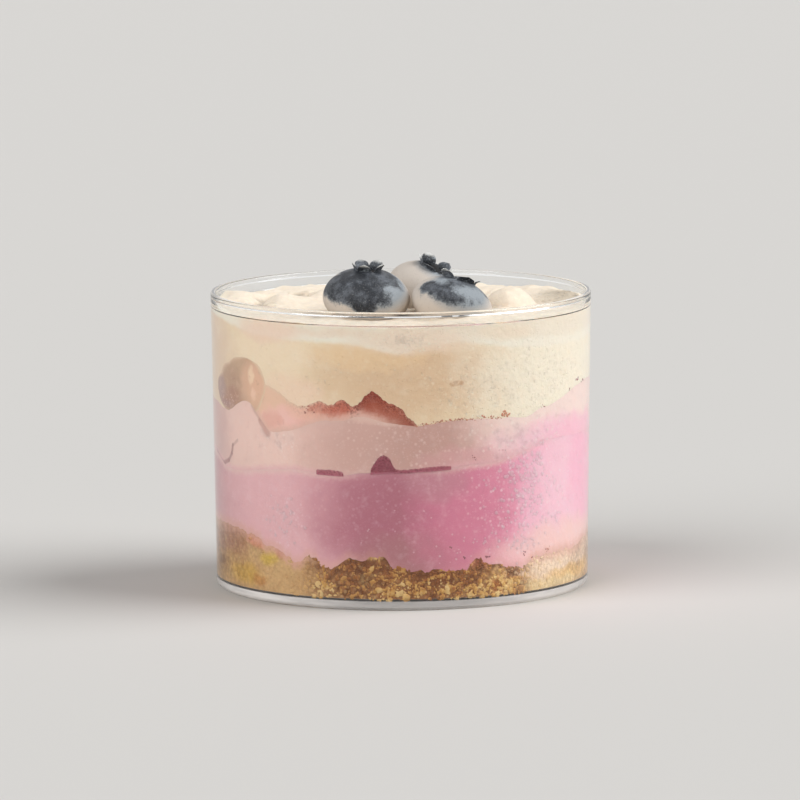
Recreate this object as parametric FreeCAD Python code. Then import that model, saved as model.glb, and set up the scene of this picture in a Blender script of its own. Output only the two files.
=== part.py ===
import FreeCAD, Part
import math
import os

# A clear straight-sided plastic cup filled with a layered mousse dessert.
# From the floor up: biscuit crumb, pink mousse, a thin seam of berry jam, pale
# mousse, strawberry jam with one half berry, and whipped cream that carries
# three blueberries. Millimetres, +Z up, the origin at the middle of the
# underside, the front towards -Y. A bearing is the angle round the cup from the
# front, in degrees, positive towards +X.

# the cup
rim_diameter = 76.0
base_diameter = 74.4
cup_height = 59.0
wall = 1.0
base_thickness = 2.0
base_corner = 1.2
floor_corner = 1.6

# the rim band that takes the lid: a thinner wall above a small ledge
rim_depth = 2.7
rim_wall = 0.75
ledge_slope = 0.3
lip_height = 0.85
lip_wall = 1.0
lip_round = 0.3

# the layers, each measured at its middle; the cream takes what is left
crumb_depth = 7.6
pink_depth = 18.2
seam_depth = 0.7
pale_depth = 8.5
jam_depth = 0.7
headroom = 2.7

# how far the food stands off the wall, so that the two never share space
wall_clearance = 0.03

# every swell of a layer's top is (bearing, share of the radius, rise, spread)
crumb_swells = [
    (-78, 1.00, 4.6, 13.0),
    (-45, 0.97, 1.6, 5.0),
    (-12, 0.98, 1.6, 4.2),
    (22, 0.98, 2.2, 3.4),
    (70, 1.00, 2.2, 11.0),
    (125, 0.95, -1.2, 8.0),
    (160, 0.97, 2.4, 9.0),
    (-140, 0.95, 1.5, 10.0),
    (60, 0.40, 1.2, 9.0),
    (-130, 0.35, -1.0, 10.0),
]
pink_swells = [
    (80, 1.00, 4.4, 19.0),
    (22, 1.00, 0.9, 6.0),
    (-27, 1.00, -0.5, 8.0),
    (-64, 1.00, -2.3, 9.0),
    (-150, 0.95, 1.6, 12.0),
    (140, 0.95, -1.4, 11.0),
]
seam_swells = [
    (-5, 1.00, 2.4, 2.6),
    (14, 1.00, 0.3, 6.0),
    (165, 1.00, 1.4, 4.0),
    (-110, 0.98, 0.9, 4.5),
]
pale_swells = [
    (78, 1.00, 6.0, 12.0),
    (-66, 1.00, 3.6, 7.0),
    (-43, 1.00, -2.4, 5.5),
    (-12, 1.00, 1.2, 5.0),
    (140, 0.97, 2.2, 12.0),
    (-150, 0.97, -1.6, 12.0),
]
jam_swells = [
    (-49, 0.98, 5.4, 5.6),
    (-27, 0.99, 3.6, 4.4),
    (-8, 1.00, 4.9, 3.5),
    (-2, 1.00, 1.4, 3.0),
    (150, 0.98, 3.0, 7.0),
    (-120, 0.97, 2.4, 7.0),
    (95, 0.98, 0.9, 5.0),
]
cream_swells = [
    (73, 0.61, 3.9, 3.7),
    (98, 0.85, 1.5, 5.0),
    (122, 0.82, 1.3, 4.6),
    (-104, 0.93, 1.6, 3.6),
    (-90, 0.60, 1.5, 4.2),
    (-126, 0.66, -2.0, 3.0),
    (-118, 0.46, 1.2, 4.0),
    (-148, 0.45, 1.4, 5.0),
    (165, 0.50, 1.1, 5.6),
    (-172, 0.82, 0.7, 5.0),
    (140, 0.55, -0.9, 4.2),
    (0, 0.72, -0.7, 7.0),
    (48, 0.80, 0.5, 6.0),
]

# the half strawberry pressed against the wall: where its middle is, how long and
# how thick it is, and how much blunter its stalk end is than its tip
fruit_bearing = -61.0
fruit_lift = 5.0
fruit_length = 19.0
fruit_girth = 11.0
fruit_bluntness = 0.22
fruit_lean = 8.0

# berries: place on the cream, width, height, how deep each is sunk, the radius of
# its crown, how far it leans about the axis at hinge, and its turn before that
berries = {
    "blueberry_left": dict(place=(-6.8, -17.9), width=17.1, height=11.7, sunk=2.5,
                           crown=2.6, lean=7.0, hinge=20.0, turn=10.0),
    "blueberry_right": dict(place=(10.15, -18.6), width=16.5, height=10.8, sunk=3.6,
                            crown=3.3, lean=19.0, hinge=116.0, turn=40.0),
    "blueberry_back": dict(place=(4.6, -2.2), width=15.0, height=11.8, sunk=3.3,
                           crown=2.8, lean=24.0, hinge=62.0, turn=0.0),
}
crown_height = 1.5
crown_flare = 0.7
crown_thickness = 0.5
crater_depth = 1.3
sepal_count = 5
outline_points = 13

# how closely the layer tops follow their swells
surface_steps = 26
surface_margin = 5.0

rim_radius = rim_diameter / 2
draft_per_mm = (rim_diameter - base_diameter) / 2 / cup_height


def vector(x, y, z):
    return FreeCAD.Vector(x, y, z)


def outer_radius(z):
    return base_diameter / 2 + draft_per_mm * z


def inner_radius(z):
    return outer_radius(z) - wall


def rounded_profile(corners):
    """Closed face in the XZ plane from corners (r, z, rounding)."""
    edges = []
    arcs = []
    count = len(corners)
    for i in range(count):
        here = vector(corners[i][0], 0, corners[i][1])
        before = vector(corners[i - 1][0], 0, corners[i - 1][1])
        after = vector(corners[(i + 1) % count][0], 0, corners[(i + 1) % count][1])
        rounding = corners[i][2]
        if rounding == 0:
            arcs.append((here, None, here))
            continue
        back = (before - here).normalize()
        ahead = (after - here).normalize()
        half_angle = back.getAngle(ahead) / 2
        reach = rounding / math.tan(half_angle)
        middle_way = (back + ahead).normalize()
        to_centre = rounding / math.sin(half_angle)
        middle = here + middle_way * (to_centre - rounding)
        arcs.append((here + back * reach, middle, here + ahead * reach))
    for i in range(count):
        start, middle, end = arcs[i]
        if middle is not None:
            edges.append(Part.Arc(start, middle, end).toShape())
        next_start = arcs[(i + 1) % count][0]
        if (next_start - end).Length > 1e-6:
            edges.append(Part.LineSegment(end, next_start).toShape())
    return Part.Face(Part.Wire(edges))


def turned(face):
    return face.revolve(vector(0, 0, 0), vector(0, 0, 1), 360)


def make_cup():
    ledge = cup_height - rim_depth
    lip = cup_height - lip_height
    rim_inside = rim_radius - rim_wall
    lip_inside = rim_radius - lip_wall
    corners = [
        (0, 0, 0),
        (base_diameter / 2, 0, base_corner),
        (rim_radius, cup_height, lip_round),
        (lip_inside, cup_height, lip_round),
        (lip_inside, lip, 0),
        (rim_inside, lip - (lip_wall - rim_wall), 0),
        (rim_inside - draft_per_mm * rim_depth, ledge, 0),
        (inner_radius(ledge - ledge_slope), ledge - ledge_slope, 0),
        (inner_radius(base_thickness), base_thickness, floor_corner),
        (0, base_thickness, 0),
    ]
    return turned(rounded_profile(corners))


def make_room():
    """The room for the food: the inside of the wall, open far above the rim."""
    top = cup_height + rim_depth * 6
    corners = [
        (0, base_thickness, 0),
        (inner_radius(base_thickness) - wall_clearance, base_thickness, floor_corner),
        (inner_radius(top) - wall_clearance, top, 0),
        (0, top, 0),
    ]
    return turned(rounded_profile(corners))


def layer_top(level, swells):
    """Height of a layer's top at (x, y): its level and its swells."""
    def height(x, y):
        z = level
        for bearing, share, rise, spread in swells:
            reach = inner_radius(level) * share
            across = x - reach * math.sin(math.radians(bearing))
            along = y + reach * math.cos(math.radians(bearing))
            z += rise * math.exp(-(across ** 2 + along ** 2) / (2 * spread ** 2))
        return z
    return height


def summed(lower, depth, swells):
    extra = layer_top(0, swells)

    def height(x, y):
        return lower(x, y) + depth + extra(x, y)
    return height


def everything_below(height):
    """A block whose upper face follows height(x, y), wider than the cup."""
    half = rim_radius + surface_margin
    step = 2 * half / (surface_steps - 1)
    grid = []
    for i in range(surface_steps):
        x = -half + i * step
        grid.append([vector(x, -half + j * step, height(x, -half + j * step))
                     for j in range(surface_steps)])
    surface = Part.BSplineSurface()
    surface.interpolate(grid)
    return surface.toShape().extrude(vector(0, 0, -3 * cup_height))


def berry_shape(width, height, crown_radius):
    """A squat round berry with a shallow crater and a crown of sepals."""
    half = height / 2
    brim_angle = math.acos(2 * crown_radius / width)
    outline = []
    for k in range(outline_points):
        angle = -math.pi / 2 + (brim_angle + math.pi / 2) * k / (outline_points - 1)
        outline.append(vector(width / 2 * math.cos(angle), 0, half * math.sin(angle)))
    outline[0] = vector(0, 0, -half)
    curve = Part.BSplineCurve()
    curve.interpolate(outline)
    side = curve.toShape()
    brim = outline[-1].z
    floor_edge = vector(crown_radius - crater_depth, 0, brim - crater_depth)
    floor_middle = vector(0, 0, brim - crater_depth)
    slope = Part.LineSegment(outline[-1], floor_edge).toShape()
    floor = Part.LineSegment(floor_edge, floor_middle).toShape()
    axis = Part.LineSegment(floor_middle, outline[0]).toShape()
    body = turned(Part.Face(Part.Wire([side, slope, floor, axis])))

    foot = brim - crown_thickness
    tip = brim + crown_height
    ring = turned(rounded_profile([
        (crown_radius - crown_thickness, foot, 0),
        (crown_radius + crown_thickness / 4, foot, 0),
        (crown_radius + crown_flare, tip, 0),
        (crown_radius + crown_flare - crown_thickness / 2, tip, 0),
    ]))
    notch_half = (crown_radius + crown_flare) * math.tan(math.pi / sepal_count) * 0.82
    notch_root = brim + crown_height * 0.1
    notch_top = tip + crown_height
    reach = crown_radius + 3 * crown_flare
    rise_ratio = (notch_top - notch_root) / crown_height
    notch = Part.Face(Part.makePolygon([
        vector(0, 0, notch_root),
        vector(0, notch_half * rise_ratio, notch_top),
        vector(0, -notch_half * rise_ratio, notch_top),
        vector(0, 0, notch_root),
    ])).extrude(vector(reach, 0, 0))
    for k in range(sepal_count):
        cutter = notch.copy()
        cutter.rotate(vector(0, 0, 0), vector(0, 0, 1), 360 / sepal_count * k)
        ring = ring.cut(cutter)
    return body.fuse(ring)


def place_berry(spec, cream_level):
    shape = berry_shape(spec["width"], spec["height"], spec["crown"])
    shape.rotate(vector(0, 0, 0), vector(0, 0, 1), spec["turn"])
    hinge = math.radians(spec["hinge"])
    hinge_axis = vector(math.cos(hinge), math.sin(hinge), 0)
    shape.rotate(vector(0, 0, 0), hinge_axis, spec["lean"])
    middle = cream_level + spec["height"] / 2 - spec["sunk"]
    shape.translate(vector(spec["place"][0], spec["place"][1], middle))
    return shape


def make_fruit(level, room):
    """Half strawberry lying along the wall, its cut side flat against it."""
    outline = []
    for k in range(outline_points):
        angle = math.pi * k / (outline_points - 1)
        girth = fruit_girth * (1 + fruit_bluntness * math.cos(angle))
        outline.append(vector(-fruit_length / 2 * math.cos(angle), 0,
                              girth / 2 * math.sin(angle)))
    outline[-1].z = 0
    curve = Part.BSplineCurve()
    curve.interpolate(outline)
    length_axis = Part.LineSegment(outline[-1], outline[0]).toShape()
    section = Part.Face(Part.Wire([curve.toShape(), length_axis]))
    fruit = section.revolve(vector(0, 0, 0), vector(1, 0, 0), 360)
    fruit.rotate(vector(0, 0, 0), vector(0, 1, 0), fruit_lean)
    fruit.rotate(vector(0, 0, 0), vector(0, 0, 1), fruit_bearing)
    out = inner_radius(level)
    bearing = math.radians(fruit_bearing)
    fruit.translate(vector(out * math.sin(bearing), -out * math.cos(bearing),
                           level + fruit_lift))
    return fruit.common(room)


def only_solid(shape):
    """The one solid of a shape; crumbs that a cut leaves behind are dropped."""
    return max(shape.Solids, key=lambda solid: solid.Volume)


def main():
    os.makedirs("parts", exist_ok=True)
    room = make_room()

    crumb_level = base_thickness + crumb_depth
    pink_level = crumb_level + pink_depth
    pale_level = pink_level + seam_depth + pale_depth
    cream_level = cup_height - headroom

    crumb_top = layer_top(crumb_level, crumb_swells)
    pink_top = layer_top(pink_level, pink_swells)
    seam_top = summed(pink_top, seam_depth, seam_swells)
    pale_top = layer_top(pale_level, pale_swells)
    jam_top = summed(pale_top, jam_depth, jam_swells)
    cream_top = layer_top(cream_level, cream_swells)

    below_crumb = everything_below(crumb_top)
    below_pink = everything_below(pink_top)
    below_seam = everything_below(seam_top)
    below_pale = everything_below(pale_top)
    below_jam = everything_below(jam_top)
    below_cream = everything_below(cream_top)

    fruit = make_fruit(pale_level, room)
    nodes = {
        "cup": make_cup(),
        "biscuit_crumb": room.common(below_crumb),
        "pink_mousse": room.common(below_pink).cut(below_crumb),
        "jam_seam": room.common(below_seam).cut(below_pink),
        "pale_mousse": room.common(below_pale).cut(below_seam).cut(fruit),
        "strawberry_jam": room.common(below_jam).cut(below_pale).cut(fruit),
        "strawberry_half": fruit,
    }
    cream = room.common(below_cream).cut(below_jam).cut(fruit)
    for name, spec in berries.items():
        berry = place_berry(spec, cream_level)
        cream = cream.cut(berry)
        nodes[name] = berry
    nodes["whipped_cream"] = cream

    for name, shape in nodes.items():
        solid = only_solid(shape)
        solid.exportStep("parts/" + name + ".step")
        box = solid.BoundBox
        print("%-16s %9.1f mm3  z %6.2f to %6.2f  pieces %d  valid %s" % (
            name, solid.Volume, box.ZMin, box.ZMax, len(shape.Solids), solid.isValid()))


main()
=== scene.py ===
import math

import bmesh
import bpy
import numpy as np
from mathutils import Matrix, Vector


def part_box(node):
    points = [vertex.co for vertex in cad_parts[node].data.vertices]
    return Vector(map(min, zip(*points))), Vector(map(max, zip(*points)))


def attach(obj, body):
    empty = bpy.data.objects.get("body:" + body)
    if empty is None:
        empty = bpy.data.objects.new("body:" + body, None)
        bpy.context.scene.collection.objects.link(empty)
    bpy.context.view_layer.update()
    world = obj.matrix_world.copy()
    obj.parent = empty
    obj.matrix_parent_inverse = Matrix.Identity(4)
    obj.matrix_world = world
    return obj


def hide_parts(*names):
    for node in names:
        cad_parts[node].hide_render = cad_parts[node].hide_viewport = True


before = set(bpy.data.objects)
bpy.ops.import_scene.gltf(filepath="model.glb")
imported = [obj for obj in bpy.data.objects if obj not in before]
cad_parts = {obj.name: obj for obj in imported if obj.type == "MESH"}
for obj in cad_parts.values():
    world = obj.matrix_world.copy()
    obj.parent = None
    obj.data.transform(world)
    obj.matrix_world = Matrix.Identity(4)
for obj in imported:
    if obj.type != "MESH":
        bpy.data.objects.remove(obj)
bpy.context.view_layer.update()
mm = 0.001  # shapes below are worked out in millimetres and put down in metres


# ---- sizes of the cup and its food; the height and rim come from the cup part ----
cupLow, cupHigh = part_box("cup")
cup = {
    "height": cupHigh.z / mm,
    "rim": cupHigh.x / mm,
    "foot": 37.2,  # outside radius where the wall meets the table
    "wall": 1.0,
    "floor": 2.0,
    "baseRound": 1.2,
    "floorRound": 1.6,
    "ledge": 2.7,  # from the top edge down to the ledge
    "ledgeSlope": 0.3,
    "rimWall": 0.75,
    "lip": 0.85,
    "lipWall": 1.0,
    "lipRound": 0.3,
    "around": 256,
}
creamLevel = cup["height"] - cup["ledge"]
bite = 0.06  # how far the food reaches into the wall, so that no air shows
full = 2 * math.pi
perDegree = 0.655  # millimetres of wall in a degree


def outerRadius(z):
    return cup["foot"] + (cup["rim"] - cup["foot"]) * z / cup["height"]


def innerRadius(z):
    return outerRadius(z) - cup["wall"]


def bearings(count):
    return np.arange(count) * full / count


def out(bearing, radius):
    # the front is -Y, and bearings grow towards +X
    return radius * np.sin(bearing), -radius * np.cos(bearing)


# ---- soft random fields, made from waves with fixed seeds ----
def waves(seed, size, count=28):
    # a smooth random field of (x, y, z), about -1 to 1, with lumps of that size
    pick = np.random.default_rng(seed)
    way = pick.normal(size=(count, 3))
    way /= np.linalg.norm(way, axis=1)[:, None]
    way *= (full / size / pick.uniform(0.7, 1.6, count))[:, None]
    phase = pick.uniform(0, full, count)

    def field(x, y, z=0.0):
        total = 0
        for k in range(count):
            total = total + np.cos(way[k, 0] * x + way[k, 1] * y + way[k, 2] * z + phase[k])
        return total * (2 / count) ** 0.5 * 0.7
    return field


def ragged(seed, long, short, fade=0.8):
    # an uneven line round the wall: wavelengths in millimetres of wall, about -1 to 1
    pick = np.random.default_rng(seed)
    girth = full * cup["rim"]
    turns = np.unique(np.round(np.geomspace(girth / long, girth / short, 26)).astype(int))
    size = (turns / turns[0]) ** -fade
    phase = pick.uniform(0, full, len(turns))

    def line(bearing):
        total = sum(s * np.cos(t * bearing + p) for s, t, p in zip(size, turns, phase))
        return total / np.sqrt((size ** 2).sum() / 2) * 0.5
    return line


def wallLine(points, soft=1.0):
    # heights round the wall through (degrees, height) points, with the corners rounded
    step = 0.25
    degrees = np.arange(-180, 180, step)
    plain = np.interp(degrees, *zip(*points), period=360)
    reach = int(3 * soft / step)
    weight = np.exp(-(np.arange(-reach, reach + 1) * step / soft) ** 2)
    smooth = np.convolve(np.pad(plain, reach, mode="wrap"), weight / weight.sum(), "valid")

    def line(bearing):
        return np.interp(np.degrees(bearing), degrees, smooth, period=360)
    return line


def near(bearing, middle, half):
    # 1 at a bearing given in degrees, falling to 0 over half that many degrees
    gap = (np.degrees(bearing) - middle + 180) % 360 - 180
    return np.exp(-(gap / half) ** 2)


# ---- meshes ----
def putDown(name, points, faces, look, node=None, sharp=None, marks=None):
    mesh = bpy.data.meshes.new(name)
    mesh.from_pydata((np.asarray(points) * mm).tolist(), [], faces)
    mesh.validate()
    mesh.polygons.foreach_set("use_smooth", [True] * len(mesh.polygons))
    if sharp:
        mesh.set_sharp_from_angle(angle=math.radians(sharp))
    for mark, values in (marks or {}).items():
        layer = mesh.attributes.new(mark, "FLOAT", "POINT")
        layer.data.foreach_set("value", np.asarray(values, dtype=np.float32))
    mesh.materials.append(look)
    piece = bpy.data.objects.new(name, mesh)
    bpy.context.scene.collection.objects.link(piece)
    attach(piece, "root")
    if node:
        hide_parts(node)


def tubeFaces(rings, count):
    # quads between rings of points, and a fan at each end to the two points after them
    here = np.arange(count)
    after = (here + 1) % count
    faces = []
    for first in range(0, (rings - 1) * count, count):
        second = first + count
        faces += np.stack([first + here, second + here, second + after, first + after], 1).tolist()
    for k in range(count):
        last = (rings - 1) * count
        faces.append((rings * count, k, (k + 1) % count))
        faces.append((rings * count + 1, last + (k + 1) % count, last + k))
    return faces


def turnedMesh(profile, count):
    # a closed solid from a profile of (r, z) that goes up on the outside, from axis to axis
    angle = bearings(count)
    points = [np.stack([*out(angle, r), np.full(count, z)], 1) for r, z in profile[1:-1]]
    points.append([(0, 0, profile[0][1]), (0, 0, profile[-1][1])])
    return np.concatenate(points), [face[::-1] for face in tubeFaces(len(profile) - 2, count)]


def roundedCorners(corners, steps=5):
    # the profile's points, with an arc of short steps where a corner has a radius
    points = []
    for i, (r, z, rounding) in enumerate(corners):
        here = Vector((r, z))
        if not rounding:
            points.append((r, z))
            continue
        before = (Vector(corners[i - 1][:2]) - here).normalized()
        after = (Vector(corners[i + 1][:2]) - here).normalized()
        half = before.angle(after) / 2
        centre = here + (before + after).normalized() * rounding / math.sin(half)
        start = here + before * rounding / math.tan(half) - centre
        end = here + after * rounding / math.tan(half) - centre
        for k in range(steps + 1):
            spoke = start.lerp(end, k / steps).normalized() * rounding
            points.append(tuple(centre + spoke))
    return points


def layerMesh(foot, top, reach, count=1080, rows=24, rings=6):
    # closed layer of food between foot(x, y) and top(x, y), out to the wall plus reach
    angle = bearings(count)
    edgeX, edgeY = out(angle, cup["rim"] - cup["wall"])
    topEdge = top(edgeX, edgeY)
    footEdge = foot(edgeX, edgeY)
    points = []
    shares = np.linspace(0, 1, rings + 1)[1:-1] ** 0.7
    for share in shares:
        x, y = out(angle, share * innerRadius(topEdge))
        points.append(np.stack([x, y, top(x, y)], 1))
    for row in np.linspace(0, 1, rows + 1):
        z = topEdge * (1 - row) + footEdge * row
        x, y = out(angle, innerRadius(z) + reach(angle, z))
        points.append(np.stack([x, y, z], 1))
    for share in (0.92, 0.6, 0.3):
        x, y = out(angle, share * innerRadius(footEdge))
        points.append(np.stack([x, y, foot(x, y)], 1))
    middle = np.zeros(1)
    points += [np.stack([middle, middle, side(middle, middle)], 1) for side in (top, foot)]
    return np.concatenate(points), tubeFaces(len(points) - 2, count)


def ball():
    # corner points and triangles of a small round ball
    build = bmesh.new()
    bmesh.ops.create_icosphere(build, subdivisions=2, radius=1)
    points = np.array([v.co[:] for v in build.verts])
    faces = np.array([[v.index for v in f.verts] for f in build.faces])
    build.free()
    return points, faces


def scattered(centres, sizes, flat, wobble, seed):
    # many small uneven lumps in one mesh; flat is how thin each is across the wall
    pick = np.random.default_rng(seed)
    unit, faces = ball()
    count = len(unit)
    points = []
    tris = []
    for k, (centre, size) in enumerate(zip(centres, sizes)):
        shape = unit * (1 + wobble * pick.normal(size=(count, 1)))
        spin = np.linalg.qr(pick.normal(size=(3, 3)))[0]
        shape = shape @ spin * size * pick.uniform(1 - 2 * wobble, 1 + 2 * wobble, 3)
        away = np.array([centre[0], centre[1], 0]) / math.hypot(centre[0], centre[1])
        shape = shape - np.outer(shape @ away, away) * (1 - flat)
        points.append(shape + centre)
        turned = np.linalg.det(spin) < 0
        tris.append((faces[:, ::-1] if turned else faces) + k * count)
    return np.concatenate(points), np.concatenate(tris).tolist(), count


def clustered(clusters, seed, foot, top):
    # places and sizes of bubbles at the wall; a cluster is
    # (bearing, height, half degrees, half height, how many, radius)
    pick = np.random.default_rng(seed)
    spread = 0.55
    centres = []
    sizes = []
    for bearing, height, wide, tall, many, size in clusters:
        for _ in range(many):
            turn = math.radians(bearing + wide * pick.normal() * spread)
            z = height + tall * pick.normal() * spread
            radius = size * pick.uniform(0.45, 1.15)
            edge = out(turn, cup["rim"])
            if foot(*edge) + radius < z < top(*edge) - radius:
                centres.append((*out(turn, innerRadius(z) + bite - 0.1 * radius), z))
                sizes.append(radius)
    return centres, sizes


def layerPiece(name, node, slot, look, foot, top, reach=None, bubbles=None, seed=0, sharp=50,
               marks=None, **mesh):
    # a layer with its bubbles; above and below are millimetres to its two edges
    reach = reach or (lambda bearing, z: np.full_like(bearing, bite))
    points, faces = layerMesh(foot, top, reach, **mesh)
    bubble = np.zeros(len(points))
    if bubbles:
        centres, sizes = clustered(bubbles, seed, foot, top)
        more, tris, _ = scattered(centres, sizes, 0.17, 0.03, seed)
        faces += (np.array(tris) + len(points)).tolist()
        points = np.concatenate([points, more])
        bubble = np.concatenate([bubble, np.ones(len(more))])
    x, y, z = points.T
    more = marks(x, y, z) if marks else {}
    marks = {"above": z - foot(x, y), "below": top(x, y) - z, "bubble": bubble, **more}
    putDown(name, points, faces, look, node, sharp, marks)


# ---- shader helper: a wrapped socket that can be added, multiplied and so on ----
def linear(colour):
    # a colour given as screen values from 0 to 255, as linear light with alpha
    return *[((v / 255 + 0.055) / 1.055) ** 2.4 for v in colour], 1


class Wire:
    def __init__(self, look, socket):
        self.look = look
        self.socket = socket

    def maths(self, kind, other=0.0, flip=False):
        a, b = (other, self) if flip else (self, other)
        return self.look.add("ShaderNodeMath", {"operation": kind}, {0: a, 1: b})["Value"]

    def __add__(self, other):
        return self.maths("ADD", other)

    def __sub__(self, other):
        return self.maths("SUBTRACT", other)

    def __mul__(self, other):
        return self.maths("MULTIPLY", other)

    def __truediv__(self, other):
        return self.maths("DIVIDE", other)

    def __rsub__(self, other):
        return self.maths("SUBTRACT", other, True)

    __radd__ = __add__
    __rmul__ = __mul__

    def least(self, other):
        return self.maths("MINIMUM", other)

    def most(self, other):
        return self.maths("MAXIMUM", other)

    def step(self, low, high):
        # 0 at low, 1 at high, with soft ends; low may lie above high
        settings = {"interpolation_type": "SMOOTHSTEP"}
        if low > high:
            return 1 - self.step(high, low)
        sockets = {"Value": self, "From Min": low, "From Max": high}
        return self.look.add("ShaderNodeMapRange", settings, sockets)["Result"]


class Look:
    def __init__(self, name, owner=None):
        self.owner = owner or bpy.data.materials.new(name)
        self.owner.use_nodes = True
        self.tree = self.owner.node_tree
        self.tree.nodes.clear()

    def add(self, kind, settings=None, sockets=None):
        node = self.tree.nodes.new(kind)
        # settings first, then values or links for sockets by number, name or identifier
        for key, value in (settings or {}).items():
            setattr(node, key, value)
        known = {socket.identifier: socket for socket in node.inputs}
        for key, value in (sockets or {}).items():
            socket = known[key] if key in known else node.inputs[key]
            if isinstance(value, Wire):
                self.tree.links.new(value.socket, socket)
            else:
                socket.default_value = linear(value) if socket.type == "RGBA" else value
        found = {}
        for socket in node.outputs:
            found.setdefault(socket.name, Wire(self, socket))
            found[socket.identifier] = Wire(self, socket)
        return found

    def place(self):
        # the point on the piece, in millimetres
        sockets = {0: self.add("ShaderNodeTexCoord")["Object"], "Scale": 1 / mm}
        return self.add("ShaderNodeVectorMath", {"operation": "SCALE"}, sockets)["Vector"]

    def parts(self, vector):
        found = self.add("ShaderNodeSeparateXYZ", None, {0: vector})
        return found["X"], found["Y"], found["Z"]

    def bearing(self, place):
        # degrees round the cup from the front
        x, y, z = self.parts(place)
        return x.maths("ARCTAN2", y * -1) * (360 / full)

    def around(self, bearing, middle, half):
        # 1 at one bearing, fading to 0 that many degrees away
        return (bearing - middle).maths("ABSOLUTE").step(half, 0)

    def noise(self, place, size, detail=2.0, rough=0.5, seed=0.0, warp=0.0):
        settings = {"noise_dimensions": "4D"}
        sockets = {"Vector": place, "W": seed, "Scale": 1 / size, "Detail": detail,
                   "Roughness": rough, "Distortion": warp}
        return self.add("ShaderNodeTexNoise", settings, sockets)["Fac"]

    def cells(self, place, size):
        return self.add("ShaderNodeTexVoronoi", None, {"Vector": place, "Scale": 1 / size})

    def spot(self, wander=1.0):
        # (degrees round the cup, height in millimetres), wandering a little
        place = self.place()
        turn = self.bearing(place) + (self.noise(place, 4.5, 3) - 0.5) * 20 * wander
        height = self.parts(place)[2] + (self.noise(place, 4.5, 3, seed=4) - 0.5) * 7 * wander
        return turn, height

    def blob(self, spot, at, half):
        # 1 in an oval of that half width in degrees and half height, fading outward
        turned = (spot[0] - (at[0] - 540)).maths("FLOORED_MODULO", 360)
        across = (turned - 180) / half[0]
        along = (spot[1] - at[1]) / half[1]
        return (across * across + along * along).step(2.0, 0)

    def coats(self, colour, *coats):
        # one colour over another; a coat is (how much of it shows, colour)
        for share, shade in coats:
            colour = self.blend(share, colour, shade)
        return colour

    def paint(self, colour, spot, patches):
        # a patch is (bearing, height, half degrees, half height, strength, screen colour)
        for bearing, height, wide, tall, strength, shade in patches:
            share = self.blob(spot, (bearing, height), (wide, tall)) * strength
            colour = self.blend(share, colour, shade)
        return colour

    def dewHighlights(self, place, spot, areas):
        # painted highlight: soft light dots where damp against the wall catches the light, thickest in the
        # areas given
        if not areas:
            return 0
        cells = self.cells(place, 1.1)
        small = self.cells(place, 0.65)
        dots = cells["Distance"].step(0.34, 0.16) * (cells["Color"] * 1.4).least(1)
        dots = dots.most(small["Distance"].step(0.3, 0.12) * 0.6)
        share = 0
        for bearing, height, wide, tall, strength in areas:
            share = (self.blob(spot, (bearing, height), (wide, tall)) * strength).most(share)
        return dots * share

    def stroke(self, spot, start, end, width):
        # 1 along a line between two (bearing, height) points, fading over its width
        ax, az = start[0] * perDegree, start[1]
        dx, dz = end[0] * perDegree - ax, end[1] - az
        px, pz = spot[0] * perDegree - ax, spot[1] - az
        along = ((px * dx + pz * dz) / (dx * dx + dz * dz)).least(1).most(0)
        across, apart = px - along * dx, pz - along * dz
        return (across * across + apart * apart).step(width * width, 0)

    def mark(self, name):
        return self.add("ShaderNodeAttribute", {"attribute_name": name})["Fac"]

    def blend(self, share, first, second):
        settings = {"data_type": "RGBA"}
        sockets = {"Factor_Float": share, "A_Color": first, "B_Color": second}
        return self.add("ShaderNodeMix", settings, sockets)["Result_Color"]

    def bump(self, height, depth):
        # depth in millimetres for a height of 1
        sockets = {"Height": height, "Distance": depth * mm, "Strength": 1}
        return self.add("ShaderNodeBump", None, sockets)["Normal"]

    def surface(self, colour, rough, **sockets):
        names = {key.replace("_", " "): value for key, value in sockets.items()}
        names.update({"Base Color": colour, "Roughness": rough})
        return self.add("ShaderNodeBsdfPrincipled", None, names)["BSDF"]

    def finish(self, shader):
        self.add("ShaderNodeOutputMaterial", None, {"Surface": shader})
        return self.owner

    def food(self, colour, rough, gloss, relief, depth, soft=None):
        # the whole finish of a food; soft is how far red, green and blue light go in
        more = {"Specular_IOR_Level": gloss, "Normal": self.bump(relief, depth)}
        if soft:
            more.update(Subsurface_Weight=0.2, Subsurface_Radius=soft, Subsurface_Scale=mm)
        return self.finish(self.surface(colour, rough, **more))


print("helpers ready")


# ---- the clear cup ----
plastic = {
    "tint": (252, 253, 253),
    "shine": 0.01,
    "bend": 1.49,
    "footHighlight": (250, 246, 243),  # painted highlight: whitish colour laid on the foot where the rounded base would catch the light
    "footHighlightShare": 0.5,
}


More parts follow.
